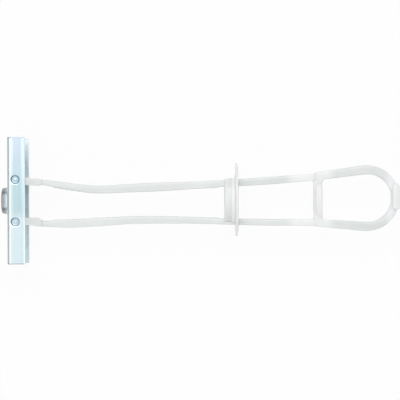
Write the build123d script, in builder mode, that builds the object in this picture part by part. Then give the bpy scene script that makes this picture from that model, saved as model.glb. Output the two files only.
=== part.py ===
import os

from build123d import *

# Strap toggle anchor, lying on its side. All sizes are in millimetres.
# The origin is the centre of the tapped hole. +X runs along the thread axis towards the finger ring,
# +Y across the two straps, and +Z up through the near side wall of the channel.

# Steel channel
channel_length = 47.6
channel_width = 16.0
channel_depth = 6.7
steel_thickness = 1.2
bend_radius = 1.6
channel_corner_radius = 0.6
thread_length = 3.8
thread_minor_radius = 4.0
thread_mouth_chamfer = 0.5
thread_exit_chamfer = 0.3
boss_root_radius = 5.7
boss_tip_radius = 5.0
boss_chamfer = 0.3

# Pressed studs that carry the straps
pivot_spacing = 15.8
pivot_setback = 1.9
stud_radius = 1.2
stud_height = 1.3
stud_chamfer = 0.2
dimple_rim_radius = 1.8
dimple_floor_radius = 1.25
dimple_depth = 0.8
dish_radius = 2.8
dish_depth = 0.2

# Straps: each outer edge runs straight from root to cross bar, less its bow, which is shared out along it
strap_length = 112.05
strap_width = 5.2
strap_thickness = 2.25
strap_neck_thickness = 2.1
strap_tail_thickness = 2.65
strap_edge_chamfer = 0.5
strap_end_height = 9.9
upper_root_height = 8.15
lower_root_height = 9.65
upper_bow = 2.35
lower_bow = 1.05
bow_places = (0, 0.11, 0.2, 0.31, 0.45, 0.71, 1)
upper_bow_shares = (0, 0.74, 0.95, 1, 0.89, 0.65, 0)
lower_bow_shares = (0, -0.43, -0.01, 0.75, 1, 0.41, 0)

# Ratchet teeth on the inner faces of the straps
tooth_pitch = 2.2
tooth_height = 0.45
tooth_width = 4.0
tooth_embed = 0.3
toothless_root = 5.7
toothless_tail = 1.0

# Strap roots, which sit between the channel's side walls
eye_radius = 1.75
root_side_clearance = 0.3
root_shoulder = 3.5
root_length = 8.5
root_thickness = 2.6
root_proud = 0.2
root_overlap = 0.3
socket_clearance = 0.1
socket_end_gap = 0.2
socket_mouth_flare = 0.45

# Cross bar, finger ring and end pad
crossbar_thickness = 3.0
crossbar_width = 7.0
crossbar_proud = 0.15
crossbar_rounding = 0.8
ring_reach = 16.8
ring_side_step = 0.4
ring_inner_radius = 8.7
ring_wall = 3.75
ring_corner_radius = 1.4
ring_corner_step = 0.35
finger_corner_radius = 1.6
pad_thickness = 3.8
pad_length = 9.7
pad_width = 8.4
pad_offset = 0.5
pad_overhang = 0.5
pad_chamfer = 0.6

# Cap that slides along the straps
cap_face = 86.25
flange_radius = 13.8
flange_thickness = 1.1
flange_rim_thickness = 0.8
collar_length = 4.5
collar_radius = 8.8
collar_nose_radius = 8.5
collar_step = 1.8
collar_chamfer = 0.4
bolt_hole_radius = 5.2
strap_clearance = 0.3
slot_corner_radius = 0.8

# Places and sizes that follow from the ones above
web_face_x = thread_length / 2
web_back_x = web_face_x - steel_thickness
bearing_x = web_back_x + channel_depth
boss_tip_x = -thread_length / 2
pivot_x = web_face_x + pivot_setback
pivot_y = pivot_spacing / 2
stud_tip_z = channel_width / 2 - steel_thickness - stud_height
root_end = pivot_x + root_length
root_width = channel_width - 2 * (steel_thickness + root_side_clearance)
crossbar_start = pivot_x + strap_length
crossbar_end = crossbar_start + crossbar_thickness
strap_start = root_end - root_overlap
strap_end = crossbar_start + crossbar_thickness / 2
teeth_start = root_end + toothless_root
teeth_end = cap_face - collar_length - toothless_tail
ring_centre = (crossbar_end + ring_reach, ring_side_step)
ring_outer_radius = ring_inner_radius + ring_wall
ring_corner_half_gap = strap_end_height + ring_corner_step - ring_corner_radius
finger_corner_half_gap = strap_end_height + ring_corner_step - strap_tail_thickness - finger_corner_radius
pad_end = ring_centre[0] + ring_outer_radius + pad_overhang


def edge_heights(root_height, bow, shares):
    """Distances of a strap's outer edge from the thread axis, at each place along it."""
    rise = strap_end_height - root_height
    return [root_height + rise * place - bow * share for place, share in zip(bow_places, shares)]


def strap_places():
    """Places along X that the straps' edges pass through."""
    return [strap_start + place * (strap_end - strap_start) for place in bow_places]


def strap_outline(heights, side):
    """Outer and inner edges of one strap: a thin neck at its root, and a thicker tail past the cap."""
    thicknesses = [
        strap_neck_thickness if x == strap_start else strap_thickness if x < cap_face else strap_tail_thickness
        for x in strap_places()
    ]
    outer = [(x, side * y) for x, y in zip(strap_places(), heights)]
    inner = [(x, side * (y - t)) for x, y, t in zip(strap_places(), heights, thicknesses)]
    return outer, inner


def edge_point(edge, distance, inset, side):
    """Point at a distance along a strap's outer edge, moved inwards by an inset."""
    at = distance / edge.length
    inward = Vector(0, -side, 0)
    along = edge.tangent_at(at)
    square_in = inward - along * inward.dot(along)
    return edge.position_at(at) + square_in.normalized() * inset


def strap_teeth(heights, side):
    """Sawtooth blocks along one strap: steep on the channel's side, sloping on the ring's side."""
    edge = Edge.make_spline([Vector(x, side * y) for x, y in zip(strap_places(), heights)])
    blocks = []
    for number in range(int((teeth_end - teeth_start) / tooth_pitch)):
        start = teeth_start - strap_start + number * tooth_pitch
        end = start + tooth_pitch
        blocks.append([
            edge_point(edge, start, strap_thickness - tooth_embed, side),
            edge_point(edge, start, strap_thickness + tooth_height, side),
            edge_point(edge, end, strap_thickness, side),
            edge_point(edge, end, strap_thickness - tooth_embed, side),
        ])
    return blocks


upper_edge_heights = edge_heights(upper_root_height, upper_bow, upper_bow_shares)
lower_edge_heights = edge_heights(lower_root_height, lower_bow, lower_bow_shares)
slot_half_width = strap_width / 2 + strap_clearance
slot_reach = max(upper_edge_heights + lower_edge_heights) + strap_clearance

# Channel: one pressed sheet, bent to a U
with BuildPart() as toggle_channel:
    with BuildSketch(Plane.XZ):
        with BuildLine():
            FilletPolyline(
                (bearing_x, channel_width / 2 - steel_thickness / 2),
                (web_back_x + steel_thickness / 2, channel_width / 2 - steel_thickness / 2),
                (web_back_x + steel_thickness / 2, steel_thickness / 2 - channel_width / 2),
                (bearing_x, steel_thickness / 2 - channel_width / 2),
                radius=bend_radius - steel_thickness / 2,
            )
        trace(line_width=steel_thickness)
    extrude(amount=channel_length / 2, both=True)
    wall_corners = toggle_channel.edges().filter_by(Axis.Z).group_by(Axis.X)[-1]
    fillet(wall_corners, channel_corner_radius)

    # Boss drawn out of the back of the web
    with BuildSketch(Plane.XY):
        with BuildLine():
            Polyline(
                (web_face_x, 0),
                (web_face_x, thread_minor_radius),
                (web_back_x, boss_root_radius),
                (boss_tip_x, boss_tip_radius),
                (boss_tip_x, 0),
                close=True,
            )
        make_face()
    revolve(axis=Axis.X)
    boss_rim = toggle_channel.edges().filter_by(GeomType.CIRCLE).sort_by(Axis.X)[0]
    chamfer(boss_rim, boss_chamfer)

    # Tapped hole, left at its minor diameter
    with BuildSketch(Plane.XY):
        with BuildLine():
            Polyline(
                (web_face_x, 0),
                (web_face_x, thread_minor_radius + thread_mouth_chamfer),
                (web_face_x - thread_mouth_chamfer, thread_minor_radius),
                (boss_tip_x + thread_exit_chamfer, thread_minor_radius),
                (boss_tip_x, thread_minor_radius + thread_exit_chamfer),
                (boss_tip_x, 0),
                close=True,
            )
        make_face()
    revolve(axis=Axis.X, mode=Mode.SUBTRACT)

    # Studs pressed in from outside, two in each side wall, with a shallow dish round each dimple
    stud_planes = [
        Plane(origin=(pivot_x, y, side * channel_width / 2), x_dir=(1, 0, 0), z_dir=(0, 0, -side))
        for side in (1, -1)
        for y in (pivot_y, -pivot_y)
    ]
    with Locations(*stud_planes):
        Cylinder(stud_radius, steel_thickness + stud_height, align=(Align.CENTER, Align.CENTER, Align.MIN))
    stud_rims = toggle_channel.edges().filter_by(GeomType.CIRCLE).filter_by(
        lambda edge: abs(abs(edge.center().Z) - stud_tip_z) < 0.001
    )
    chamfer(stud_rims, stud_chamfer)
    with Locations(*stud_planes):
        Cone(
            dish_radius,
            dimple_rim_radius,
            dish_depth,
            align=(Align.CENTER, Align.CENTER, Align.MIN),
            mode=Mode.SUBTRACT,
        )
        Cone(
            dimple_rim_radius,
            dimple_floor_radius,
            dimple_depth,
            align=(Align.CENTER, Align.CENTER, Align.MIN),
            mode=Mode.SUBTRACT,
        )

# Strap roots: a wide eye between the side walls, which narrows to the strap
with BuildPart() as strap_roots:
    for side, heights in ((1, upper_edge_heights), (-1, lower_edge_heights)):
        with BuildSketch(Plane.XY):
            with Locations((pivot_x, side * pivot_y)):
                Circle(eye_radius)
            with Locations((root_end, side * (heights[0] + root_proud - root_thickness / 2))):
                Circle(root_thickness / 2)
            make_hull()
        extrude(amount=root_width / 2, both=True)
    with BuildSketch(Plane.XZ):
        with BuildLine():
            Polyline(
                (pivot_x - eye_radius, root_width / 2),
                (pivot_x + root_shoulder, root_width / 2),
                (root_end, strap_width / 2),
                (root_end + root_thickness, strap_width / 2),
                (root_end + root_thickness, -strap_width / 2),
                (root_end, -strap_width / 2),
                (pivot_x + root_shoulder, -root_width / 2),
                (pivot_x - eye_radius, -root_width / 2),
                close=True,
            )
        make_face()
    extrude(amount=channel_length / 2, both=True, mode=Mode.INTERSECT)

    # Sockets for the studs, open towards the web, so that the strap snaps on
    socket_radius = stud_radius + socket_clearance
    socket_floor = stud_tip_z - socket_end_gap
    for end in (1, -1):
        with BuildSketch(Plane.XY.offset(end * socket_floor)):
            with Locations((pivot_x, pivot_y), (pivot_x, -pivot_y)):
                Circle(socket_radius)
                Polygon(
                    (0, socket_radius),
                    (-eye_radius, socket_radius + socket_mouth_flare),
                    (-eye_radius, -socket_radius - socket_mouth_flare),
                    (0, -socket_radius),
                    align=None,
                )
        extrude(amount=end * (root_width / 2 - socket_floor), mode=Mode.SUBTRACT)

# Straps, cross bar and finger ring: one moulding
with BuildPart() as strap_handle:
    with BuildSketch(Plane.XY) as handle_outline:
        for side, heights in ((1, upper_edge_heights), (-1, lower_edge_heights)):
            outer_points, inner_points = strap_outline(heights, side)
            with BuildLine():
                Spline(*outer_points)
                Line(outer_points[-1], inner_points[-1])
                Spline(*inner_points)
                Line(inner_points[0], outer_points[0])
            make_face()
        with BuildSketch(mode=Mode.PRIVATE) as ring_outside:
            with Locations(ring_centre):
                Circle(ring_outer_radius)
            with Locations(
                (crossbar_start + ring_corner_radius, ring_corner_half_gap),
                (crossbar_start + ring_corner_radius, -ring_corner_half_gap),
            ):
                Circle(ring_corner_radius)
            make_hull()
        with BuildSketch(mode=Mode.PRIVATE) as finger_hole:
            with Locations(ring_centre):
                Circle(ring_inner_radius)
            with Locations(
                (crossbar_end + finger_corner_radius, finger_corner_half_gap),
                (crossbar_end + finger_corner_radius, -finger_corner_half_gap),
            ):
                Circle(finger_corner_radius)
            make_hull()
        add(ring_outside.sketch)
        add(finger_hole.sketch, mode=Mode.SUBTRACT)
        bar_corners = handle_outline.vertices().filter_by(
            lambda corner: abs(corner.X - crossbar_start) < 0.001 and abs(corner.Y) < ring_corner_half_gap
        )
        fillet(bar_corners, crossbar_rounding)
    extrude(amount=strap_width / 2, both=True)
    flat_sides = strap_handle.faces().filter_by(Axis.Z)
    chamfer(flat_sides.edges(), strap_edge_chamfer)

    # Ratchet teeth
    with BuildSketch(Plane.XY):
        for side, heights in ((1, upper_edge_heights), (-1, lower_edge_heights)):
            for corners in strap_teeth(heights, side):
                Polygon(*corners, align=None)
    extrude(amount=tooth_width / 2, both=True)

    # Cross bar, wider than the cap's slot, which stops the cap
    with BuildSketch(Plane.YZ.offset(crossbar_start - crossbar_proud)):
        RectangleRounded(2 * ring_corner_half_gap, crossbar_width, crossbar_rounding)
    extrude(amount=crossbar_thickness + 2 * crossbar_proud)

    # End pad on the ring
    with BuildSketch(Plane.YZ.offset(pad_end)):
        with Locations((ring_centre[1] + pad_offset, 0)):
            RectangleRounded(pad_length, pad_width, crossbar_rounding)
    extrude(amount=-pad_thickness)
    pad_rim = strap_handle.faces().sort_by(Axis.X)[-1].edges()
    chamfer(pad_rim, pad_chamfer)

    add(strap_roots.part)

# Cap: a thin flange with a short collar for the drilled hole
with BuildPart() as ratchet_cap:
    with BuildSketch(Plane.XY):
        with BuildLine():
            Polyline(
                (cap_face - collar_length, 0),
                (cap_face - collar_length, collar_nose_radius - collar_chamfer),
                (cap_face - collar_length + collar_chamfer, collar_nose_radius),
                (cap_face - collar_step, collar_nose_radius),
                (cap_face - collar_step, collar_radius),
                (cap_face, collar_radius),
                (cap_face, flange_radius),
                (cap_face + flange_rim_thickness, flange_radius),
                (cap_face + flange_thickness, collar_radius),
                (cap_face + flange_thickness, 0),
                close=True,
            )
        make_face()
    revolve(axis=Axis.X)

    # Bolt hole, joined to the slot that the straps run in
    with BuildSketch(Plane.YZ.offset(cap_face - collar_length)):
        Circle(bolt_hole_radius)
        RectangleRounded(2 * slot_reach, 2 * slot_half_width, slot_corner_radius)
    extrude(amount=collar_length + flange_thickness, mode=Mode.SUBTRACT)

toggle_channel.part.label = "toggle_channel"
strap_handle.part.label = "strap_handle"
ratchet_cap.part.label = "ratchet_cap"

os.makedirs("parts", exist_ok=True)
export_step(toggle_channel.part, "parts/toggle_channel.step")
export_step(strap_handle.part, "parts/strap_handle.step")
export_step(ratchet_cap.part, "parts/ratchet_cap.step")
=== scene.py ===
import math

import bmesh
import bpy
import numpy as np
from mathutils import Euler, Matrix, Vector


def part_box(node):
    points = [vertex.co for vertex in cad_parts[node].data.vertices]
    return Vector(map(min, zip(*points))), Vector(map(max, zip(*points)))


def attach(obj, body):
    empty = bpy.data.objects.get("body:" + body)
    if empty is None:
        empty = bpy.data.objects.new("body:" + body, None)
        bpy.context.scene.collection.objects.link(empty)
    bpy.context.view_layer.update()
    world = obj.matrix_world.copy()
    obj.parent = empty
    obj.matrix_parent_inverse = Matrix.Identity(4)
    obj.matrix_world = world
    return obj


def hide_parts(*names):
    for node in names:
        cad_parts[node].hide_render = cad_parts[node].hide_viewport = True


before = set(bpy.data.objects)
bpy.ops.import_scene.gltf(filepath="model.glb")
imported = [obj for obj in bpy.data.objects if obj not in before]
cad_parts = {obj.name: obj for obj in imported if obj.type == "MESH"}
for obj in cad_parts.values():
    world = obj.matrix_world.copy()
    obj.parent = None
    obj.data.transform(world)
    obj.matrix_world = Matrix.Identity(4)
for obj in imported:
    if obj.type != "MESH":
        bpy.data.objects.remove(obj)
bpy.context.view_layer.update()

MM = 0.001

# Points nearer to each other than this, in metres, are one, and the least length that anything is divided by
WELD_DISTANCE = 1e-8
TINY = 1e-9

# Creases up to these angles are shaded smooth, at large and on the pressed sheet
SMOOTH_DEGREES = 38
SHEET_SMOOTH_DEGREES = 50

# Channel in mm: X runs along the thread axis, Y along the channel and Z across its web
CHANNEL_LENGTH = 47.6
CHANNEL_WIDTH = 16.0
STEEL = 1.2
BEND_RADIUS = 1.6
CORNER_RADIUS = 0.6
WEB_BACK_X = 0.7
BEARING_X = 7.4
PIVOT_X = 3.8
PIVOT_Y = 7.9

# Pressed features as radius and height off the sheet, outwards being positive
BOSS_OUTSIDE = (
    (4.0, 2.3), (4.25, 2.6), (4.55, 2.6), (4.68, 2.55), (4.77, 2.44), (4.82, 2.3), (5.15, 0.7), (5.25, 0.35),
    (5.35, 0.18), (5.5, 0.07), (5.75, 0.02), (6.0, 0.0),
)
BOSS_MOUTH = ((4.0, 0.5), (4.5, 0.0))
DIMPLE = (
    (0.0, -0.66), (0.12, -0.665), (0.3, -0.7), (0.45, -0.72), (1.15, -0.72), (1.24, -0.7), (1.3, -0.64),
    (1.5, -0.3), (1.65, -0.06), (1.78, -0.02), (1.9, -0.008), (2.35, -0.002), (2.6, 0.0),
)
STUD = ((0.0, -1.3), (1.05, -1.3), (1.15, -1.24), (1.2, -1.12), (1.24, -0.12), (1.3, -0.04), (1.4, 0.0))

# The sheet's grid lines: near its middle, round the boss, round each stud, and in from its border. A stud has
# fewer towards the bend, which has lines of its own.
MIDDLE_LINES = (0, 1, 2, 3)
BOSS_LINES = (4.0, 4.1, 4.25, 4.4, 4.55, 4.68, 4.77, 4.82, 4.93, 5.04, 5.15, 5.25, 5.35, 5.5, 5.75, 6.0)
STUD_LINES = (
    0.12, 0.3, 0.45, 0.8, 1.05, 1.15, 1.2, 1.24, 1.3, 1.4, 1.5, 1.65, 1.78, 1.9, 2.1, 2.35, 2.6,
)
STUD_LINES_TO_BEND = STUD_LINES[:-3]
BORDER_LINES = (0, 0.03, 0.08, 0.14, 0.24, 0.36, 0.48, 0.6, 0.72, 0.84, 0.98)
BEND_LINES = 9
PLAIN_LINES_START = 11.5
PLAIN_LINES = 12

# How far past a feature its round grid lines ease back to straight ones, and a distance past any feature
BOSS_EASING = 0.3
STUD_EASING = 0.4
FAR = 99.0

# How wide and how deep the sheared borders have rolled over
LONG_EDGE_ROLL = (0.95, 0.34)
END_ROLL = (0.16, 0.16)
INNER_ROLL = (0.14, 0.14)

# Thread in the boss: its profile as place along the axis and share of the ridge's height, how far its root is
# sunk in the wall, the turn in radians over which it runs out, and the share that is left at its tips
THREAD_MINOR_RADIUS = 4.0
THREAD_PITCH = 1.5875
THREAD_RIDGE = 0.28
THREAD_TURNS = 1.75
THREAD_START_X = -1.2
THREAD_PROFILE = ((-0.62, -0.08), (-0.2, 1), (0.2, 1), (0.62, -0.08))
THREAD_SINK = 0.02
THREAD_RUN_OUT = 0.9
THREAD_TIP_SHARE = 0.02
THREAD_SECTIONS = 64

# Straps as place along X, distance of the outer edge from the thread axis, and thickness
STRAP_START = 12.0
STRAP_END = 117.35
STRAP_WIDTH = 5.2
STRAP_ROUNDING = 0.6
STRAP_CROWN = 0.05
UPPER_STRAP = (
    (12.0, 8.15, 2.0), (23.6, 6.6, 2.42), (33.1, 5.58, 2.5), (44.7, 6.03, 2.78), (59.4, 6.62, 2.82),
    (73.1, 7.08, 2.45), (86.8, 7.78, 2.68), (117.35, 9.9, 2.7),
)
LOWER_STRAP = (
    (12.0, 9.68, 2.05), (23.6, 10.22, 2.75), (33.1, 9.85, 2.8), (44.7, 9.08, 2.6), (59.4, 8.87, 2.42),
    (73.1, 9.01, 2.15), (86.8, 9.49, 2.35), (117.35, 9.98, 2.55),
)

# So that the sides of pieces that run into one another don't lie in one plane
SIDE_CLEARANCE = 0.02

# Teeth, one tooth as place after its steep flank and share of its height
TEETH_START = 18.0
TOOTH_PITCH = 2.2
TOOTH_COUNT = 28
TOOTH_HEIGHT = 0.45
TOOTH_WIDTH = 3.0
TOOTH_SHAPE = ((0, 0), (0.07, 0.86), (0.2, 1), (0.45, 0.93), (1.2, 0.5), (2.0, 0.06))

# Across a tooth to its side: place past its half width, share of its height and share of the rails' height
TOOTH_FLANK = ((0.14, 0, 1), (0.04, 0, 0), (-0.04, 0.9, 0), (-0.25, 1, 0))
RAIL_HEIGHT = 0.33
UPPER_RAIL_START = 27.5
LOWER_RAIL_START = 16.5
RAIL_END = 80.5
RAIL_RUN_OUT = 1.5

# Each root as the height of its end, the dip of its outer edge and the heel on its inner edge
UPPER_ROOT = (8.23, 0.42, 0.25)
LOWER_ROOT = (9.76, 0.6, 0.6)
ROOT_END = 12.3
ROOT_THICKNESS = 2.38
ROOT_HALF_WIDTH = 6.5

# A root's rounded side edge as depth along Z and how far the outline has drawn in, a socket's lip as place
# from the pivot, and the shoulder's sections as where they start along Z and their number
ROOT_EDGE = ((0, 0.2), (0.06, 0.06), (0.2, 0), (0.6, 0))
EYE_RADIUS = 1.75
SOCKET_RADIUS = 1.3
SOCKET_FLOOR = 5.3
SOCKET_LIP = (-1.1, 1.552)
SHOULDER_SECTIONS = (4.9, 10)
SHOULDER_X = 7.3
SHOULDER_RUN = 4.3
SHOULDER_TAIL = 2.0

# Cross bar, finger ring and end pad
CROSSBAR_START = 115.85
CROSSBAR_END = 118.85
CROSSBAR_MIDDLE = 117.75
CROSSBAR_HALF_LENGTH = 8.2
CROSSBAR_HALF_THICKNESS = 1.32
CROSSBAR_HALF_WIDTH = 2.45
CROSSBAR_SWELL = 0.9
CROSSBAR_ROUNDING = 0.7
RING_CENTRE = (135.65, 0.4)
RING_OUTER_RADIUS = 12.45
RING_ROUNDING = 0.75
FINGER_HOLE_CENTRE = (136.45, 0.4)
FINGER_HOLE_RADIUS = 9.0

# The ring's corners at the cross bar as distance from the thread axis and radius
RING_OUTER_CORNER = (8.85, 1.4)
RING_INNER_CORNER = (6.0, 1.6)
PAD_START = 145.5
PAD_END = 148.6
PAD_MIDDLE_Y = 0.9
PAD_HALF_LENGTH = 4.85
PAD_HALF_WIDTH = 4.2
PAD_ROUNDING = 0.8

# The pad's two faces as depth along X and how far the outline has drawn in, with a step round the front one
PAD_BACK = ((0.0, 0.45), (0.12, 0.3), (0.4, 0.1), (0.9, 0.0))
PAD_FRONT = ((1.35, 0.0), (1.2, 0.1), (1.15, 0.3), (0.6, 0.35), (0.3, 0.42), (0.1, 0.57), (0.0, 0.75))

# Cap, the collar's fillet as distance outside the collar and place along X from the flange's face
CAP_FACE = 86.25
FLANGE_RADIUS = 13.8
FLANGE_THICKNESS = 1.1
FLANGE_RIM_THICKNESS = 0.8
FLANGE_MIDWAY_THICKNESS = 1.023
OPENING_CHAMFER = 0.12
COLLAR_LENGTH = 4.1
COLLAR_RADIUS = 8.8
COLLAR_NOSE_RADIUS = 8.5
COLLAR_STEP = 1.8
COLLAR_SINK = 0.2
COLLAR_FILLET = ((0.6, 0), (0.28, -0.07), (0.1, -0.25), (0.02, -0.5), (0, -0.75))
COLLAR_CHAMFER = 0.12
COLLAR_NOSE_ROUNDING = 0.4
COLLAR_MOUTH_CHAMFER = 0.15
BOLT_HOLE_RADIUS = 5.2
SLOT_HALF_WIDTH = 2.9
SLOT_REACH = 10.43

# Finishes: pattern sizes in mm with what they are stretched by and their shares, the passivated blue as share
# of the channel's length and colour, roughness from polished to dull places, the relief's depth in mm and
# strength, and how far light passes into nylon
BLUE_PATCH = 6.5
BLUE_STRETCH = 1.6
BLUE_WANDER = 18.0
BLUE_DRIFT = (
    (0.05, "#e9faff"), (0.3, "#e8f8fe"), (0.42, "#cae3e9"), (0.6, "#c5dfe7"), (0.74, "#cde2eb"),
    (0.92, "#d0deec"),
)
ROLLING_STREAK = 0.7
STREAK_STRETCH = 30.0
STREAK_SHARE = 0.22
PLATE_GRAIN = 0.31
GRAIN_SHARE = 0.4
STEEL_ROUGHNESS = (0.17, 0.28)
FLOW_CLOUD = 7.5
FLOW_STRETCH = 3.0
MOULD_TEXTURE = 0.38
SINK_PATCH = 3.1
SINK_TO_TEXTURE = 3.0
NYLON_ROUGHNESS = (0.32, 0.46)
RELIEF = 0.02
STEEL_BUMP = 0.12
NYLON_BUMP = 0.25
LIGHT_REACH = 0.9

# For all noise: how strong its finer octaves are, and the span in which nearly all of its values lie
NOISE_ROUGHNESS = 0.55
NOISE_SPAN = (0.3, 0.7)

# The mouldings' milky colours, thick and thin, and their stretches of painted light, which lift shade and
# stand in for highlights, as start, end and fade along X in mm and colour, and how strongly they are painted
STRAP_MILKY = ("#e4e7e6", "#ecefee")
CAP_MILKY = ("#e7eae9", "#eef0f0")
STRAP_PAINTED_LIGHT = ((110.0, 119.0, 6.0, "#fbffff"), (145.0, 160.0, 3.0, "#f8fafe"))
CAP_PAINTED_LIGHT = ((85.4, 88.5, 0.9, "#fcfdfd"),)
PAINTED_LIGHT_SHARE = 0.85

# Camera: straight above the anchor, turned a little, as the photograph was taken
SENSOR_MM = 36.0
CAMERA_HEIGHT = 560 * MM
FRAME_WIDTH = 151.5 * MM
CAMERA_X = 72.85 * MM
CAMERA_Y = -0.03 * MM
CAMERA_ROLL = math.radians(-0.26)
CAMERA_CLIP = (10 * MM, 10.0)

# Light and stage: the mirrored world as height of the direction and grey level, and the lamps as power in
# watts and place in metres
WORLD_STRENGTH = 0.60
MIRROR_WORLD = ((0.0, 0.33), (0.22, 0.42), (0.45, 1.0), (0.86, 1.0), (0.975, 0.62))
MIRROR_LEVEL = 1.35
LAMPS = {"key": (1.6, (0.02, 0.32, 0.62)), "fill": (0.5, (-0.05, -0.45, 0.45))}
LAMP_SIZE = 0.5
FLOOR_SIZE = 3.0
FLOOR_WHITE = "#f7f8f8"
FLOOR_GLOW = 0.93
WHITE = (1.0, 1.0, 1.0, 1.0)


def linear(hex_colour):
    """Turns an sRGB hex colour into linear red, green, blue and alpha."""
    raw = np.array([int(hex_colour[i:i + 2], 16) for i in (1, 3, 5)]) / 255.0
    lin = np.where(raw <= 0.04045, raw / 12.92, ((raw + 0.055) / 1.055) ** 2.4)
    return (*lin.tolist(), 1.0)


def add_node(tree, kind, settings=None, stops=(), **sockets):
    """Adds one node, sets its properties and a colour ramp's stops, and gives each named or numbered socket
    its value, which is linked where it is another node or a node's output."""
    node = tree.nodes.new(kind)
    for key, value in (settings or {}).items():
        setattr(node, key, value)
    # A new ramp has two stops
    for _ in stops[2:]:
        node.color_ramp.elements.new(0.5)
    for count, (place, colour) in enumerate(stops):
        node.color_ramp.elements[count].position = place
        node.color_ramp.elements[count].color = colour
    for key, value in sockets.items():
        socket = node.inputs[int(key[1:]) if key[1:].isdigit() else key.replace("_", " ")]
        if isinstance(value, bpy.types.Node):
            value = value.outputs[0]
        if isinstance(value, bpy.types.NodeSocket):
            tree.links.new(value, socket)
        else:
            socket.default_value = value
    return node


def new_material(name):
    """An empty node material and its tree."""
    material = bpy.data.materials.new(name)
    material.use_nodes = True
    material.node_tree.nodes.clear()
    return material, material.node_tree


def put_piece(name, points, faces, body, slot, material, smooth_degrees=SMOOTH_DEGREES):
    """Makes a closed mesh piece from points in millimetres, turns its faces outwards if its signed volume
    is negative, welds the points that share a place, shades it smooth where its creases are gentle, and
    lets it ride on its body."""
    first = points[[face[0] for face in faces]]
    volume = 0.0
    for step in range(1, max(len(face) for face in faces) - 1):
        second = points[[face[min(step, len(face) - 1)] for face in faces]]
        third = points[[face[min(step + 1, len(face) - 1)] for face in faces]]
        volume += np.einsum("ij,ij->", first, np.cross(second, third))
    if volume < 0:
        faces = [face[::-1] for face in faces]
    mesh = bpy.data.meshes.new(name)
    mesh.from_pydata(points * MM, [], faces)
    welded = bmesh.new()
    welded.from_mesh(mesh)
    bmesh.ops.remove_doubles(welded, verts=welded.verts, dist=WELD_DISTANCE)
    welded.to_mesh(mesh)
    welded.free()
    mesh.polygons.foreach_set("use_smooth", np.ones(len(mesh.polygons), bool))
    mesh.set_sharp_from_angle(angle=math.radians(smooth_degrees))
    mesh.materials.append(material)
    piece = bpy.data.objects.new(name, mesh)
    bpy.context.scene.collection.objects.link(piece)
    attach(piece, body)
    return piece


def loop_faces(loops, size, closed=False):
    """Quads between neighbouring loops of points, each loop round on itself. Unless the loops are closed on
    themselves too, the first and the last get an end face."""
    lower = np.arange(loops if closed else loops - 1)[:, None] * size
    upper = (lower + size) % (loops * size)
    here = np.arange(size)[None, :]
    ahead = (here + 1) % size
    corners = [lower + here, lower + ahead, upper + ahead, upper + here]
    faces = np.stack(corners, axis=-1).reshape(-1, 4).tolist()
    if not closed:
        faces += [list(range(size))[::-1], list(range((loops - 1) * size, loops * size))]
    return faces


def smooth_curve(knots, values, at):
    """Natural cubic spline: the smooth curve through the values at the knots, without curvature at its
    ends."""
    knots, values = np.asarray(knots, float), np.asarray(values, float)
    gap, rise = np.diff(knots), np.diff(values)
    inner = np.arange(1, len(knots) - 1)
    system = np.eye(len(knots))
    system[inner, inner - 1] = gap[:-1]
    system[inner, inner] = 2 * (gap[:-1] + gap[1:])
    system[inner, inner + 1] = gap[1:]
    right = np.zeros(len(knots))
    right[1:-1] = 6 * (rise[1:] / gap[1:] - rise[:-1] / gap[:-1])
    bend = np.linalg.solve(system, right)
    span = np.clip(np.searchsorted(knots, at) - 1, 0, len(gap) - 1)
    before, after, width = at - knots[span], knots[span + 1] - at, gap[span]
    return (
        (bend[span] * after ** 3 + bend[span + 1] * before ** 3) / (6 * width)
        + (values[span] / width - bend[span] * width / 6) * after
        + (values[span + 1] / width - bend[span + 1] * width / 6) * before
    )


def on_circle(middle, radius, turn):
    """Points of a circle at one turn or several."""
    return np.asarray(middle) + radius * np.stack([np.cos(turn), np.sin(turn)], axis=-1)


def band_section(half_width, rounding, tooth_half_width=0):
    """Rounded section of a moulded band. Each row gives how far a point lies from the outer to the inner
    edge, its offset in mm, its height along Z, and its shares of the teeth's and the rails' height on the
    inner face."""
    turn = np.linspace(0, math.pi / 2, 6)
    flat = half_width - rounding
    face = flat * np.linspace(0, 1, 4)[:-1]
    outer_face = [(0, STRAP_CROWN * (z / flat) ** 2 - STRAP_CROWN, z, 0, 0) for z in face]
    outer_corner = [(0, rounding * (1 - math.cos(a)), flat + rounding * math.sin(a), 0, 0) for a in turn]
    inner_corner = [(1, -rounding * (1 - math.sin(a)), flat + rounding * math.cos(a), 0, 1) for a in turn]
    inner_face = [(1, 0, flat * 0.5, 0, 1)]
    if tooth_half_width:
        inner_face = [(1, 0, tooth_half_width + past, tooth, rail) for past, tooth, rail in TOOTH_FLANK]
    half = outer_face + outer_corner + inner_corner + inner_face
    middle = [(1, 0, 0, 1, 0)]
    mirrored = [(share, offset, -z, *lifts) for share, offset, z, *lifts in half[::-1] if z > 0]
    return np.array(half + middle + mirrored)


def carried_band(outer, inner, section, teeth=0.0, rails=0.0):
    """Carries the section along a path: a point lies between the outer and the inner edge by its share of
    their distance, moved inwards by its offset and by its shares of the teeth's and the rails' height at
    that station."""
    across = inner - outer
    thickness = np.linalg.norm(across, axis=1)
    teeth, rails = (np.broadcast_to(lift, len(outer))[:, None] for lift in (teeth, rails))
    share, offset, height, tooth_share, rail_share = section.T
    depth = thickness[:, None] * share + offset + teeth * tooth_share + rails * rail_share
    flat = outer[:, None, :] + depth[..., None] * (across / thickness[:, None])[:, None, :]
    points = np.concatenate([flat, np.broadcast_to(height[None, :, None], flat.shape[:2] + (1,))], axis=2)
    return points.reshape(-1, 3)


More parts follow.
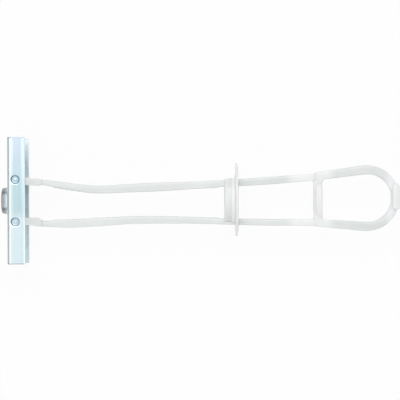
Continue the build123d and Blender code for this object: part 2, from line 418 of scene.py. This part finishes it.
def moulded_strap(table, side, rail_start):
    """A strap: its outer edge is a smooth curve through the table's heights, its inner edge lies a
    thickness below, and a sawtooth runs along the inner face, which rises at once on the channel's side and
    falls evenly towards the ring. Low rails run beside the teeth from a place along X to near the last
    tooth."""
    places, heights, thicknesses = np.array(table).T
    dense = np.linspace(STRAP_START, STRAP_END, 2000)
    steps = np.hypot(np.diff(dense), np.diff(smooth_curve(places, heights, dense)))
    along = np.concatenate([[0], np.cumsum(steps)])
    tooth_starts = TEETH_START - STRAP_START + TOOTH_PITCH * np.arange(TOOTH_COUNT)
    tooth_places, tooth_heights = np.array(TOOTH_SHAPE).T
    toothed = (tooth_starts[:, None] + tooth_places).ravel()
    before = np.linspace(0, tooth_starts[0] - 0.3, 12)
    beyond = np.linspace(tooth_starts[-1] + TOOTH_PITCH, along[-1], 34)
    stations = np.concatenate([before, toothed, beyond])
    teeth = np.zeros(len(stations))
    teeth[len(before):-len(beyond)] = np.tile(tooth_heights, TOOTH_COUNT) * TOOTH_HEIGHT

    x = np.interp(stations, along, dense)
    outer = np.column_stack([x, side * smooth_curve(places, heights, x)])
    below = side * smooth_curve(places, heights - thicknesses, x)
    tangent = np.gradient(outer, axis=0)
    inward = np.column_stack([tangent[:, 1], -tangent[:, 0]]) * side
    inward /= np.linalg.norm(inward, axis=1)[:, None]
    inner = outer + inward * (np.abs(below - outer[:, 1]) * np.abs(inward[:, 1]))[:, None]
    rails = RAIL_HEIGHT * np.clip(np.minimum(x - rail_start, RAIL_END - x) / RAIL_RUN_OUT, 0, 1)
    section = band_section(STRAP_WIDTH / 2 - SIDE_CLEARANCE, STRAP_ROUNDING, TOOTH_WIDTH / 2)
    return carried_band(outer, inner, section, teeth, rails), loop_faces(len(x), len(section))


def belt_outline(centre, radius, back, corner_y, corner_radius):
    """Outline of a belt laid round one large circle and two small corner circles that touch a straight
    back: arcs where it touches them, and straight tangents between."""
    def run(start, end, count):
        """A straight run, without its last point."""
        share = np.linspace(0, 1, count, endpoint=False)[:, None]
        return start * (1 - share) + end * share

    def arc(middle, size, start, end, count):
        """An arc between two turns, without its last point."""
        return on_circle(middle, size, np.linspace(start, end, count, endpoint=False))

    touches = []
    for side in (1, -1):
        corner = np.array([back + corner_radius, side * corner_y])
        gap = np.asarray(centre) - corner
        lean = (radius - corner_radius) / np.hypot(*gap)
        along = gap / np.hypot(*gap)
        square = np.array([-along[1], along[0]]) * side
        off = square * math.sqrt(1 - lean ** 2) - along * lean
        touches.append((corner, math.atan2(off[1], off[0])))
    (upper, upper_turn), (lower, lower_turn) = touches
    reach = np.array([corner_radius, 0])
    return np.concatenate([
        run(lower - reach, upper - reach, 16),
        arc(upper, corner_radius, math.pi, upper_turn, 8),
        run(on_circle(upper, corner_radius, upper_turn), on_circle(centre, radius, upper_turn), 12),
        arc(centre, radius, upper_turn, lower_turn, 64),
        run(on_circle(centre, radius, lower_turn), on_circle(lower, corner_radius, lower_turn), 12),
        arc(lower, corner_radius, lower_turn, -math.pi, 8),
    ])


def finger_ring():
    """The finger ring: a rounded band between an outer and an inner belt outline, closed on itself."""
    outer = belt_outline(RING_CENTRE, RING_OUTER_RADIUS, CROSSBAR_START, *RING_OUTER_CORNER)
    inner = belt_outline(FINGER_HOLE_CENTRE, FINGER_HOLE_RADIUS, CROSSBAR_END, *RING_INNER_CORNER)
    section = band_section(STRAP_WIDTH / 2, RING_ROUNDING)
    return carried_band(outer, inner, section), loop_faces(len(outer), len(section), closed=True)


def rounded_bar(stations, centre, rounding, axes):
    """A bar with a rounded rectangle for its section. Each station is a place along the bar, how far the
    section has drawn in there and its two half widths, so its ends can be rounded over and its middle can
    swell. Axes says which of the bar's own directions, along, first half width and second half width, lies
    along X, Y and Z."""
    turn = np.linspace(0, math.pi / 2, 7)
    around = np.concatenate([turn + quarter * math.pi / 2 for quarter in range(4)])
    corner = np.repeat([(1, 1), (-1, 1), (-1, -1), (1, -1)], len(turn), axis=0)
    place, inset, half_first, half_second = np.array(stations, float).T[..., None]
    first = centre + corner[:, 0] * (half_first - rounding) + (rounding - inset) * np.cos(around)
    second = corner[:, 1] * (half_second - rounding) + (rounding - inset) * np.sin(around)
    points = np.stack([np.broadcast_to(place, first.shape), first, second], axis=-1)[..., axes]
    return points.reshape(-1, 3), loop_faces(len(stations), len(around))


def cross_bar():
    """The bar between the straps. Its width along Z swells towards its middle by a squared cosine."""
    places = np.linspace(-CROSSBAR_HALF_LENGTH, CROSSBAR_HALF_LENGTH, 25)
    swell = CROSSBAR_SWELL * np.cos(places / CROSSBAR_HALF_LENGTH * math.pi / 2) ** 2
    stations = [
        (place, 0.0, CROSSBAR_HALF_THICKNESS, half_width)
        for place, half_width in zip(places, CROSSBAR_HALF_WIDTH + swell)
    ]
    return rounded_bar(stations, CROSSBAR_MIDDLE, CROSSBAR_ROUNDING, (1, 0, 2))


def end_pad():
    """The pad on the ring's end: a rounded rectangle drawn in at its back, and with a small step to its
    front."""
    stations = [(PAD_START + depth, inset, PAD_HALF_LENGTH, PAD_HALF_WIDTH) for depth, inset in PAD_BACK]
    stations += [(PAD_END - depth, inset, PAD_HALF_LENGTH, PAD_HALF_WIDTH) for depth, inset in PAD_FRONT]
    return rounded_bar(stations, PAD_MIDDLE_Y, PAD_ROUNDING, (0, 1, 2))


def strap_root(end_height, dip, heel, side):
    """The root of a strap: an eye and a smaller end circle joined by two tangents, carried along Z. The
    outer edge dips by a squared sine, and the inner edge swells to a heel that rises slowly and ends in a
    step. Beyond the shoulder it falls away in a slope that runs out into the strap, and near both ends of
    its width the eye opens to the web in a slot that takes a stud."""
    eye = np.array([PIVOT_X, PIVOT_Y])
    end_radius = ROOT_THICKNESS / 2
    end = np.array([ROOT_END, end_height - end_radius])
    along = (end - eye) / np.hypot(*(end - eye))
    square = np.array([-along[1], along[0]])
    lean = (EYE_RADIUS - end_radius) / np.hypot(*(end - eye))
    above, below = (
        math.atan2(*(along * lean + square * s * math.sqrt(1 - lean ** 2))[::-1]) for s in (1, -1)
    )
    eye_arc = on_circle(eye, EYE_RADIUS, np.linspace(above, below + 2 * math.pi, 25))
    end_arc = on_circle(end, end_radius, np.linspace(below, above, 13))
    share = np.linspace(0, 1, 20)[1:-1, None]
    top = end_arc[-1] * (1 - share) + eye_arc[0] * share
    top[:, 1:] -= dip * np.sin(math.pi * share) ** 2
    bottom = eye_arc[-1] * (1 - share) + end_arc[0] * share
    # The factor 1.4 makes the heel's curve peak at about 1
    bottom[:, 1:] -= heel * 1.4 * share ** 1.2 * (1 - share ** 12)

    # The slot: in from the mouth along one lip, round the stud and out along the other
    floor = on_circle(eye, SOCKET_RADIUS, np.linspace(math.pi / 2, -math.pi / 2, 17))
    lips = eye + np.array([(SOCKET_LIP[0], s * SOCKET_LIP[1]) for s in (1, -1)])
    slot = np.concatenate([eye_arc[:3], lips[:1], floor, lips[1:], eye_arc[-3:]])

    # Levels from side to side as height along Z, how far the outline draws in, and whether it is slotted
    half_strap = STRAP_WIDTH / 2
    half = [(ROOT_HALF_WIDTH - depth, inset, True) for depth, inset in ROOT_EDGE]
    half += [(SOCKET_FLOOR, 0, True), (SOCKET_FLOOR, 0, False)]
    half += [(z, 0, False) for z in np.linspace(SHOULDER_SECTIONS[0], half_strap, SHOULDER_SECTIONS[1])]
    half += [(half_strap - 0.2, 0, False)]
    levels = [(-z, inset, slotted) for z, inset, slotted in half] + [(0, 0, False)] + half[::-1]
    lower_side = np.vstack([eye_arc[-1], bottom, end_arc[0]])
    upper_side = np.vstack([eye_arc[0], top[::-1], end_arc[-1]])
    loops = []
    for z, inset, slotted in levels:
        outline = np.concatenate([slot if slotted else eye_arc, bottom, end_arc, top])
        if abs(z) >= half_strap:
            fall = (ROOT_HALF_WIDTH - abs(z)) / (ROOT_HALF_WIDTH - half_strap)
            cut = SHOULDER_X + SHOULDER_RUN * fall + SHOULDER_TAIL * fall ** 5
            low, high = (np.interp(cut, edge[:, 0], edge[:, 1]) for edge in (lower_side, upper_side))
            beyond = outline[:, 0] > cut
            outline[beyond] = np.column_stack([
                np.full(beyond.sum(), cut), np.clip(outline[beyond, 1], low, high),
            ])
        away = outline - (eye + end) / 2
        outline = outline - inset * away / np.linalg.norm(away, axis=1)[:, None]
        loops.append(np.column_stack([outline[:, 0], side * outline[:, 1], np.full(len(outline), z)]))
    return np.concatenate(loops), loop_faces(len(loops), len(loops[0]))


def cap_flange():
    """The flange: a thin round plate from the opening's outline to the rim, a little thinner at the rim,
    with a rounded edge. The opening is the bolt hole's circle or the strap slot's straight sides, whichever
    is further out. Each station gives the share of the way from opening to rim, an offset, and the place
    along X."""
    corner = math.atan2(SLOT_HALF_WIDTH, SLOT_REACH)
    meet = math.asin(SLOT_HALF_WIDTH / BOLT_HOLE_RADIUS)
    quarter = np.unique(np.concatenate([
        np.linspace(0, corner, 6), np.linspace(corner, meet, 8), np.linspace(meet, math.pi / 2, 20),
    ]))
    turn = np.concatenate([
        quarter, math.pi - quarter[-2::-1], math.pi + quarter[1:], 2 * math.pi - quarter[-2:0:-1],
    ])
    cos, sin = np.cos(turn), np.sin(turn)
    side = SLOT_HALF_WIDTH / np.maximum(np.abs(sin), TINY)
    end = SLOT_REACH / np.maximum(np.abs(cos), TINY)
    opening = np.maximum(BOLT_HOLE_RADIUS, np.minimum(side, end))

    half_rim = FLANGE_RIM_THICKNESS / 2
    stations = [(0, OPENING_CHAMFER, 0), (0.1, 0, 0), (0.5, 0, 0)]
    stations += [
        (1, -half_rim * (1 - math.sin(a)), half_rim * (1 - math.cos(a))) for a in np.linspace(0, math.pi, 9)
    ]
    stations += [
        (0.5, 0, FLANGE_MIDWAY_THICKNESS), (0.1, 0, FLANGE_THICKNESS), (0, OPENING_CHAMFER, FLANGE_THICKNESS),
        (0, 0, FLANGE_THICKNESS - OPENING_CHAMFER), (0, 0, OPENING_CHAMFER),
    ]
    share, offset, x = np.array(stations).T[..., None]
    reach = opening + share * (FLANGE_RADIUS - opening) + offset
    points = np.stack([np.broadcast_to(CAP_FACE + x, reach.shape), reach * cos, reach * sin], axis=-1)
    return points.reshape(-1, 3), loop_faces(len(stations), len(turn), closed=True)


def cap_collar(side):
    """One half of the collar: a profile of radius and place along X with a fillet to the flange, a step and
    a rounded nose, carried round the axis. At each radius the arc starts and ends where the strap slot's
    side cuts it."""
    nose_x = -COLLAR_LENGTH
    fillet = [(COLLAR_RADIUS + out, x) for out, x in COLLAR_FILLET]
    profile = [(BOLT_HOLE_RADIUS, COLLAR_SINK), (fillet[0][0], COLLAR_SINK), *fillet]
    profile += [
        (COLLAR_RADIUS, COLLAR_CHAMFER - COLLAR_STEP), (COLLAR_RADIUS - COLLAR_CHAMFER, -COLLAR_STEP),
        (COLLAR_NOSE_RADIUS, -COLLAR_STEP), (COLLAR_NOSE_RADIUS, nose_x + COLLAR_NOSE_ROUNDING),
        (COLLAR_NOSE_RADIUS - COLLAR_CHAMFER, nose_x + COLLAR_CHAMFER),
        (COLLAR_NOSE_RADIUS - COLLAR_NOSE_ROUNDING, nose_x),
        (BOLT_HOLE_RADIUS + COLLAR_MOUTH_CHAMFER, nose_x), (BOLT_HOLE_RADIUS, nose_x + COLLAR_MOUTH_CHAMFER),
    ]
    radius, x = np.array(profile).T
    start = np.arcsin(SLOT_HALF_WIDTH / radius)
    turn = start + np.linspace(0, 1, 65)[:, None] * (math.pi - 2 * start)
    places = np.broadcast_to(CAP_FACE + x, turn.shape)
    points = np.stack([places, radius * np.cos(turn), side * radius * np.sin(turn)], axis=-1)
    return points.reshape(-1, 3), loop_faces(len(turn), len(profile))


def pressed(distance, table):
    """Height of a pressed feature at a distance from its middle: straight lines between the table's
    pairs."""
    radii, heights = np.array(table).T
    return np.interp(distance, radii, heights)


def rolled_over(distance, roll):
    """How far a sheared border has rolled over at a distance from it: a quarter of an ellipse with the
    roll's width and depth."""
    width, depth = roll
    inside = np.clip(width - distance, 0, width) / width
    return depth * (1 - np.sqrt(1 - inside ** 2))


def drawn_round(s, y, middle, reach, easing):
    """Turns the grid's squares round a middle into circles of the same size, which ease back to squares
    past a reach, and gives the distance of each point from the middle."""
    u, v = s - middle[0], y - middle[1]
    square = np.maximum(np.abs(u), np.abs(v))
    weight = np.clip((reach + easing - square) / easing, 0, 1)
    pull = 1 + weight * (square / np.maximum(np.hypot(u, v), TINY) - 1)
    return middle[0] + u * pull, middle[1] + v * pull, np.where(weight > 0, np.hypot(u, v) * pull, FAR)


def pressed_channel():
    """The channel as one pressed sheet. A grid over the flat sheet, across the bends and along the length,
    is drawn into circles round each punched feature, lifted off the sheet's middle by half its thickness
    and by the feature's profile, and then folded: straight over the web, round an arc in each bend and
    straight along each side wall."""
    length_end = CHANNEL_LENGTH / 2
    bend_start = CHANNEL_WIDTH / 2 - BEND_RADIUS
    mid_radius = BEND_RADIUS - STEEL / 2
    bend_end = bend_start + mid_radius * math.pi / 2
    wall_end = bend_end + BEARING_X - WEB_BACK_X - BEND_RADIUS
    stud_place = bend_end + PIVOT_X - WEB_BACK_X - BEND_RADIUS
    half_across = np.concatenate([
        MIDDLE_LINES, BOSS_LINES, np.linspace(bend_start, bend_end, BEND_LINES),
        stud_place - np.array(STUD_LINES_TO_BEND), [stud_place], stud_place + np.array(STUD_LINES),
        wall_end - np.array(BORDER_LINES),
    ])
    half_along = np.concatenate([
        MIDDLE_LINES, BOSS_LINES, PIVOT_Y - np.array(STUD_LINES), [PIVOT_Y], PIVOT_Y + np.array(STUD_LINES),
        np.linspace(PLAIN_LINES_START, length_end - 1, PLAIN_LINES), length_end - np.array(BORDER_LINES),
    ])
    across, along = (
        np.unique(np.round(np.concatenate([-half, half]), 4)) for half in (half_across, half_along)
    )
    s, y = np.meshgrid(across, along, indexing="ij")
    to_edge, to_end = wall_end - np.abs(s), length_end - np.abs(y)

    # The sheet is left out inside the grid lines of the bore, a square that is drawn into the bore's circle
    bore_line = THREAD_MINOR_RADIUS + 0.01
    in_bore = np.maximum(np.abs(s), np.abs(y)) < bore_line
    bore_rows, bore_columns = (np.flatnonzero(np.abs(lines) < bore_line) for lines in (across, along))

    s, y, boss_distance = drawn_round(s, y, (0, 0), BOSS_OUTSIDE[-1][0], BOSS_EASING)
    stud_distance = np.full(s.shape, FAR)
    for middle in ((a * stud_place, b * PIVOT_Y) for a in (1, -1) for b in (1, -1)):
        s, y, distance = drawn_round(s, y, middle, DIMPLE[-1][0], STUD_EASING)
        stud_distance = np.minimum(stud_distance, distance)
    corner = np.maximum(CORNER_RADIUS - np.stack([wall_end - np.abs(s), length_end - np.abs(y)]), 0)
    pull = np.where(corner.min(0) > 0, corner.max(0) / np.maximum(np.hypot(*corner), TINY) - 1, 0)
    s, y = s + np.sign(s) * corner[0] * pull, y + np.sign(y) * corner[1] * pull

    outer_roll = np.maximum(rolled_over(to_edge, LONG_EDGE_ROLL), rolled_over(to_end, END_ROLL))
    inner_roll = np.maximum(rolled_over(to_edge, INNER_ROLL), rolled_over(to_end, INNER_ROLL))
    outer = STEEL / 2 - outer_roll + pressed(boss_distance, BOSS_OUTSIDE) + pressed(stud_distance, DIMPLE)
    inner = inner_roll - STEEL / 2 + pressed(boss_distance, BOSS_MOUTH) + pressed(stud_distance, STUD)
    turn = np.clip((np.abs(s) - bend_start) / mid_radius, 0, math.pi / 2)
    past = np.maximum(np.abs(s) - bend_end, 0)
    layers = []
    for offset in (outer, inner):
        x = WEB_BACK_X + BEND_RADIUS - (mid_radius + offset) * np.cos(turn) + past
        z = np.sign(s) * (np.minimum(np.abs(s), bend_start) + (mid_radius + offset) * np.sin(turn))
        layers.append(np.stack([x, y, z], axis=-1).reshape(-1, 3))

    index = np.arange(s.size).reshape(s.shape)
    quads = np.stack([index[:-1, :-1], index[1:, :-1], index[1:, 1:], index[:-1, 1:]], axis=-1)
    sheet = quads[~(in_bore[:-1, :-1] & in_bore[1:, :-1] & in_bore[1:, 1:] & in_bore[:-1, 1:])]

    def cut_wall(block):
        """Quads through the sheet's thickness, round the border of a block of the grid."""
        loop = np.concatenate([block[0, :-1], block[:-1, -1], block[-1, :0:-1], block[:0:-1, 0]])
        ahead = np.roll(loop, -1)
        return np.stack([loop, ahead, ahead + s.size, loop + s.size], axis=-1)

    bore_wall = cut_wall(index[np.ix_(bore_rows, bore_columns)])
    faces = np.concatenate([sheet, sheet[:, ::-1] + s.size, cut_wall(index), bore_wall[:, ::-1]])
    used, order = np.unique(faces, return_inverse=True)
    return np.concatenate(layers)[used], order.reshape(-1, 4).tolist()


def thread_ridge():
    """The thread in the boss: a trapezium carried along a helix on the bore's wall, which runs out at both
    ends."""
    turn = np.linspace(0, 2 * math.pi * THREAD_TURNS, int(THREAD_SECTIONS * THREAD_TURNS))[:, None]
    fade = np.clip(np.minimum(turn, turn[-1] - turn) / THREAD_RUN_OUT, THREAD_TIP_SHARE, 1)
    place, height = np.array(THREAD_PROFILE).T
    x = THREAD_START_X + THREAD_PITCH * turn / (2 * math.pi) + place * fade
    radius = THREAD_MINOR_RADIUS + THREAD_SINK - THREAD_RIDGE * height * fade
    points = np.stack([x, radius * np.cos(turn), radius * np.sin(turn)], axis=-1)
    return points.reshape(-1, 3), loop_faces(len(turn), len(THREAD_PROFILE))


def lay_coats(tree, colour, coats):
    """Lays coats of colour over a colour, one after another. A coat is its hex colour, its share, and any
    number of limits: a value in metres, and the places in mm where the coat has faded out and where it is
    full."""
    for coat, share, *limits in coats:
        for value, faded, full in limits:
            mask = add_node(
                tree, "ShaderNodeMapRange", {"interpolation_type": "SMOOTHSTEP"},
                Value=value, From_Min=faded * MM, From_Max=full * MM,
            )
            share = add_node(tree, "ShaderNodeMath", {"operation": "MULTIPLY"}, i0=mask, i1=share)
        mixed = add_node(tree, "ShaderNodeMix", {"data_type": "RGBA"}, i0=share, i6=colour, i7=linear(coat))
        colour = mixed.outputs[2]
    return colour


def zinc_plated_steel():
    """Cold rolled sheet steel, pressed, zinc plated and blue passivated. It gives the eye a bright cool
    metal whose blue drifts between aqua and lilac, with fine streaks along the rolled sheet and open edges
    of a lighter grey. Painted shade darkens the bends, the drawn boss, the sheared ends and the punched
    dimples, painted highlights run beside the bends and along the open borders, and the inner faces are
    painted lighter."""
    material, tree = new_material("zinc_plated_pressed_steel")
    place = add_node(tree, "ShaderNodeTexCoord").outputs["Object"]
    x, y, z = add_node(tree, "ShaderNodeSeparateXYZ", Vector=place).outputs
    off_y, off_z = (add_node(tree, "ShaderNodeMath", {"operation": "ABSOLUTE"}, i0=part) for part in (y, z))
    folded = add_node(tree, "ShaderNodeCombineXYZ", X=x, Y=off_y)
    from_pivot = add_node(
        tree, "ShaderNodeVectorMath", {"operation": "DISTANCE"}, i0=folded, i1=(PIVOT_X * MM, PIVOT_Y * MM, 0)
    ).outputs["Value"]

    # The blue drifts along the channel, and the clouds move it by up to half of BLUE_WANDER either way
    patches = add_node(tree, "ShaderNodeMapping", Vector=place, Scale=(1.0, 1 / BLUE_STRETCH, 1.0))
    cloud = add_node(
        tree, "ShaderNodeTexNoise", Vector=patches, Scale=1 / (BLUE_PATCH * MM), Detail=1.5,
        Roughness=NOISE_ROUGHNESS, Distortion=0.3,
    )
    wandered = add_node(
        tree, "ShaderNodeMath", {"operation": "MULTIPLY_ADD"}, i0=cloud, i1=BLUE_WANDER * MM, i2=y
    )
    length = add_node(
        tree, "ShaderNodeMapRange", Value=wandered, From_Min=(BLUE_WANDER - CHANNEL_LENGTH) / 2 * MM,
        From_Max=(BLUE_WANDER + CHANNEL_LENGTH) / 2 * MM,
    )
    blue = add_node(
        tree, "ShaderNodeValToRGB", stops=[(stop, linear(colour)) for stop, colour in BLUE_DRIFT], Fac=length
    )

    # Rolling lines are a few hundredths of a mm apart, drawn coarser so that they show
    rolled = add_node(tree, "ShaderNodeMapping", Vector=place, Scale=(1.0, 1 / STREAK_STRETCH, 1.0))
    streaks = add_node(
        tree, "ShaderNodeTexNoise", Vector=rolled, Scale=1 / (ROLLING_STREAK * MM), Detail=3.0,
        Roughness=NOISE_ROUGHNESS,
    )
    streak_share = add_node(tree, "ShaderNodeMath", {"operation": "MULTIPLY"}, i0=streaks, i1=STREAK_SHARE)

    # Coats as colour, share, and limits: a value, and in mm where the coat has faded out and where it is full
    on_wall = (off_z, 6.9, 7.0)
    rolled_lines = ("#a9c3d2", streak_share)
    # Painted highlight: a pale band along the wall just inside its open border
    painted_border_highlight = ("#dff0f5", 0.6, (x, 5.7, 6.6))
    # Painted highlight: a near-white band beside the bend, over the web and up the wall
    painted_bend_highlight = ("#effafd", 0.7, (x, 3.7, 2.2))
    # Painted shade: a grey band over the outside of the bend, where the curved sheet turns away from the
    # light
    bend = ("#b6c0c5", 0.85, (off_z, 6.3, 6.9), (x, 2.05, 1.35))
    # Painted shade: dark grey over the drawn boss
    painted_boss_shade = ("#81898d", 0.9, (x, 1.2, -1.0))
    # Painted light: the inner faces of web and walls are whitened so that they show brighter
    inside = ("#fdfefe", 1.0, (off_z, 6.86, 6.75), (x, 1.84, 1.95))
    open_edge = ("#e6edf0", 0.8, (x, 7.2, 7.38))
    # Painted shade: a dark line along each sheared end of the channel
    painted_end_shade = ("#8b979c", 0.75, (off_y, 23.3, 23.6))
    # Painted shade: grey over each dimple's floor and a dark ring round its wall
    painted_dimple_floor_shade = ("#a6bcc7", 0.5, (from_pivot, 1.3, 1.0), on_wall)
    painted_dimple_rim_shade = ("#63757f", 0.85, (from_pivot, 1.15, 1.35), (from_pivot, 1.85, 1.6), on_wall)
    colour = lay_coats(tree, blue, (
        rolled_lines, painted_border_highlight, painted_bend_highlight, bend, painted_boss_shade, inside, open_edge, painted_end_shade, painted_dimple_floor_shade,
        painted_dimple_rim_shade,
    ))

    # The plate's grain is some hundredths of a mm, drawn coarser so that it shows
    grain = add_node(
        tree, "ShaderNodeTexNoise", Vector=place, Scale=1 / (PLATE_GRAIN * MM), Detail=2.0,
        Roughness=NOISE_ROUGHNESS,
    )
    height = add_node(tree, "ShaderNodeMix", i0=GRAIN_SHARE, i2=streaks, i3=grain)
    rough = add_node(
        tree, "ShaderNodeMapRange", Value=height, From_Min=NOISE_SPAN[0], From_Max=NOISE_SPAN[1],
        To_Min=STEEL_ROUGHNESS[0], To_Max=STEEL_ROUGHNESS[1],
    )
    relief = add_node(tree, "ShaderNodeBump", Strength=STEEL_BUMP, Distance=RELIEF * MM, Height=height)
    shader = add_node(
        tree, "ShaderNodeBsdfPrincipled", Base_Color=colour, Metallic=1.0, Roughness=rough, Normal=relief
    )
    add_node(tree, "ShaderNodeOutputMaterial", Surface=shader)
    return material


def natural_nylon(name, thick, thin, paler):
    """Unpigmented nylon, injection moulded. It gives the eye a milky white with faint flow clouds, a satin
    skin from the mould's fine texture, and soft edges where light passes a little way in. The clouds run
    from its thick to its thin colour, and its stretches of painted light are lighter colour that lifts shade
    and stands in for highlights."""
    material, tree = new_material(name)
    place = add_node(tree, "ShaderNodeTexCoord").outputs["Object"]
    x = add_node(tree, "ShaderNodeSeparateXYZ", Vector=place)
    flow = add_node(tree, "ShaderNodeMapping", Vector=place, Scale=(1 / FLOW_STRETCH, 1.0, 1.0))
    clouds = add_node(
        tree, "ShaderNodeTexNoise", Vector=flow, Scale=1 / (FLOW_CLOUD * MM), Detail=3.0,
        Roughness=NOISE_ROUGHNESS, Distortion=0.6,
    )
    milky = add_node(
        tree, "ShaderNodeValToRGB", stops=[(0.3, linear(thick)), (0.68, linear(thin))], Fac=clouds
    )
    # Painted light: the stretches are laid in lighter colour over the milky clouds
    colour = lay_coats(tree, milky, [
        (pale, PAINTED_LIGHT_SHARE, (x, start - fade, start), (x, end + fade, end))
        for start, end, fade, pale in paler
    ])

    # The mould's spark texture is about 0.05 mm, drawn coarser so that it shows
    texture = add_node(
        tree, "ShaderNodeTexNoise", Vector=place, Scale=1 / (MOULD_TEXTURE * MM), Detail=2.0,
        Roughness=NOISE_ROUGHNESS,
    )
    sink = add_node(
        tree, "ShaderNodeTexNoise", Vector=place, Scale=1 / (SINK_PATCH * MM), Detail=1.0,
        Roughness=NOISE_ROUGHNESS,
    )
    height = add_node(
        tree, "ShaderNodeMath", {"operation": "MULTIPLY_ADD"}, i0=sink, i1=SINK_TO_TEXTURE, i2=texture
    )
    rough = add_node(
        tree, "ShaderNodeMapRange", Value=texture, From_Min=NOISE_SPAN[0], From_Max=NOISE_SPAN[1],
        To_Min=NYLON_ROUGHNESS[0], To_Max=NYLON_ROUGHNESS[1],
    )
    relief = add_node(tree, "ShaderNodeBump", Strength=NYLON_BUMP, Distance=RELIEF * MM, Height=height)
    shader = add_node(
        tree, "ShaderNodeBsdfPrincipled", Base_Color=colour, Roughness=rough, Normal=relief, IOR=1.5,
        Subsurface_Weight=0.8, Subsurface_Radius=(1.0, 1.0, 1.0), Subsurface_Scale=LIGHT_REACH * MM,
    )
    add_node(tree, "ShaderNodeOutputMaterial", Surface=shader)
    return material


def make_stage(lowest):
    """A pale floor that shows white to the camera and in reflections, and keeps the object's shadow."""
    half = FLOOR_SIZE / 2
    corners = [(-half, -half, lowest), (half, -half, lowest), (half, half, lowest), (-half, half, lowest)]
    mesh = bpy.data.meshes.new("floor")
    mesh.from_pydata(corners, [], [(0, 1, 2, 3)])
    floor = bpy.data.objects.new("floor", mesh)
    bpy.context.scene.collection.objects.link(floor)
    material, tree = new_material("pale_floor_paint")
    rays = add_node(tree, "ShaderNodeLightPath").outputs
    seen = rays["Is Camera Ray"]
    for kind in ("Is Glossy Ray", "Is Transmission Ray"):
        seen = add_node(tree, "ShaderNodeMath", {"operation": "MAXIMUM"}, i0=seen, i1=rays[kind])
    share = add_node(tree, "ShaderNodeMath", {"operation": "MULTIPLY"}, i0=seen, i1=FLOOR_GLOW)
    paint = add_node(tree, "ShaderNodeBsdfDiffuse", Color=linear(FLOOR_WHITE))
    glow = add_node(tree, "ShaderNodeEmission", Color=WHITE, Strength=1.0)
    mix = add_node(tree, "ShaderNodeMixShader", i0=share, i1=paint, i2=glow)
    add_node(tree, "ShaderNodeOutputMaterial", Surface=mix)
    mesh.materials.append(material)


def make_light():
    """An even white world for the soft surfaces, which what mirrors it sees as a tent, dim at the horizon
    and bright above it, and the camera sees as plain white. One large soft lamp hangs above the straps and
    a weaker one opposite."""
    scene = bpy.context.scene
    scene.world = bpy.data.worlds.new("studio")
    scene.world.use_nodes = True
    tree = scene.world.node_tree
    tree.nodes.clear()
    direction = add_node(tree, "ShaderNodeTexCoord").outputs["Generated"]
    up = add_node(tree, "ShaderNodeSeparateXYZ", Vector=direction).outputs["Z"]
    greys = [(height, (level, level, level, 1.0)) for height, level in MIRROR_WORLD]
    sky = add_node(tree, "ShaderNodeValToRGB", stops=greys, Fac=up)
    even = add_node(tree, "ShaderNodeBackground", Color=WHITE, Strength=WORLD_STRENGTH)
    tent = add_node(tree, "ShaderNodeBackground", Color=sky, Strength=MIRROR_LEVEL)
    white = add_node(tree, "ShaderNodeBackground", Color=WHITE, Strength=1.0)
    rays = add_node(tree, "ShaderNodeLightPath").outputs
    seen = add_node(
        tree, "ShaderNodeMath", {"operation": "MAXIMUM"}, i0=rays["Is Camera Ray"],
        i1=rays["Is Transmission Ray"],
    )
    mirrored = add_node(tree, "ShaderNodeMixShader", i0=rays["Is Glossy Ray"], i1=even, i2=tent)
    mix = add_node(tree, "ShaderNodeMixShader", i0=seen, i1=mirrored, i2=white)
    add_node(tree, "ShaderNodeOutputWorld", Surface=mix)
    for name, (power, place) in LAMPS.items():
        data = bpy.data.lights.new(name, "AREA")
        data.shape = "DISK"
        data.size = LAMP_SIZE
        data.energy = power
        lamp = bpy.data.objects.new(name, data)
        lamp.location = place
        aim = Vector((CAMERA_X, 0, 0)) - Vector(place)
        lamp.rotation_euler = aim.to_track_quat("-Z", "Y").to_euler()
        scene.collection.objects.link(lamp)


def make_camera():
    """The photograph's view: straight down the Z axis, from where its perspective puts the lens."""
    data = bpy.data.cameras.new("camera")
    data.sensor_width = SENSOR_MM
    data.lens = SENSOR_MM * CAMERA_HEIGHT / FRAME_WIDTH
    data.clip_start, data.clip_end = CAMERA_CLIP
    camera = bpy.data.objects.new("camera", data)
    camera.location = (CAMERA_X, CAMERA_Y, CAMERA_HEIGHT)
    camera.rotation_euler = Euler((0, 0, CAMERA_ROLL))
    bpy.context.scene.collection.objects.link(camera)
    bpy.context.scene.camera = camera


bpy.context.scene.view_settings.view_transform = "Standard"

zinc = zinc_plated_steel()
strap_nylon = natural_nylon("natural_nylon_moulding", *STRAP_MILKY, STRAP_PAINTED_LIGHT)
cap_nylon = natural_nylon("natural_nylon_cap", *CAP_MILKY, CAP_PAINTED_LIGHT)

moulding = {
    "upper_strap": moulded_strap(UPPER_STRAP, 1, UPPER_RAIL_START),
    "lower_strap": moulded_strap(LOWER_STRAP, -1, LOWER_RAIL_START),
    "upper_strap_root": strap_root(*UPPER_ROOT, 1),
    "lower_strap_root": strap_root(*LOWER_ROOT, -1),
    "finger_ring": finger_ring(),
    "cross_bar": cross_bar(),
    "end_pad": end_pad(),
}
handle_pieces = [
    put_piece(name, *shape, "handle", "natural_strap_plastic", strap_nylon)
    for name, shape in moulding.items()
]
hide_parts("strap_handle")

cap = {"cap_flange": cap_flange(), "cap_collar_near": cap_collar(1), "cap_collar_far": cap_collar(-1)}
cap_pieces = [put_piece(name, *shape, "cap", "natural_cap_plastic", cap_nylon) for name, shape in cap.items()]
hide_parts("ratchet_cap")

channel = put_piece(
    "pressed_channel", *pressed_channel(), "channel", "zinc_plated_steel", zinc, SHEET_SMOOTH_DEGREES
)
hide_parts("toggle_channel")
put_piece("boss_thread", *thread_ridge(), "channel", "zinc_plated_steel", zinc)

make_stage(min(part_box(name)[0].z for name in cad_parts))
make_light()
make_camera()
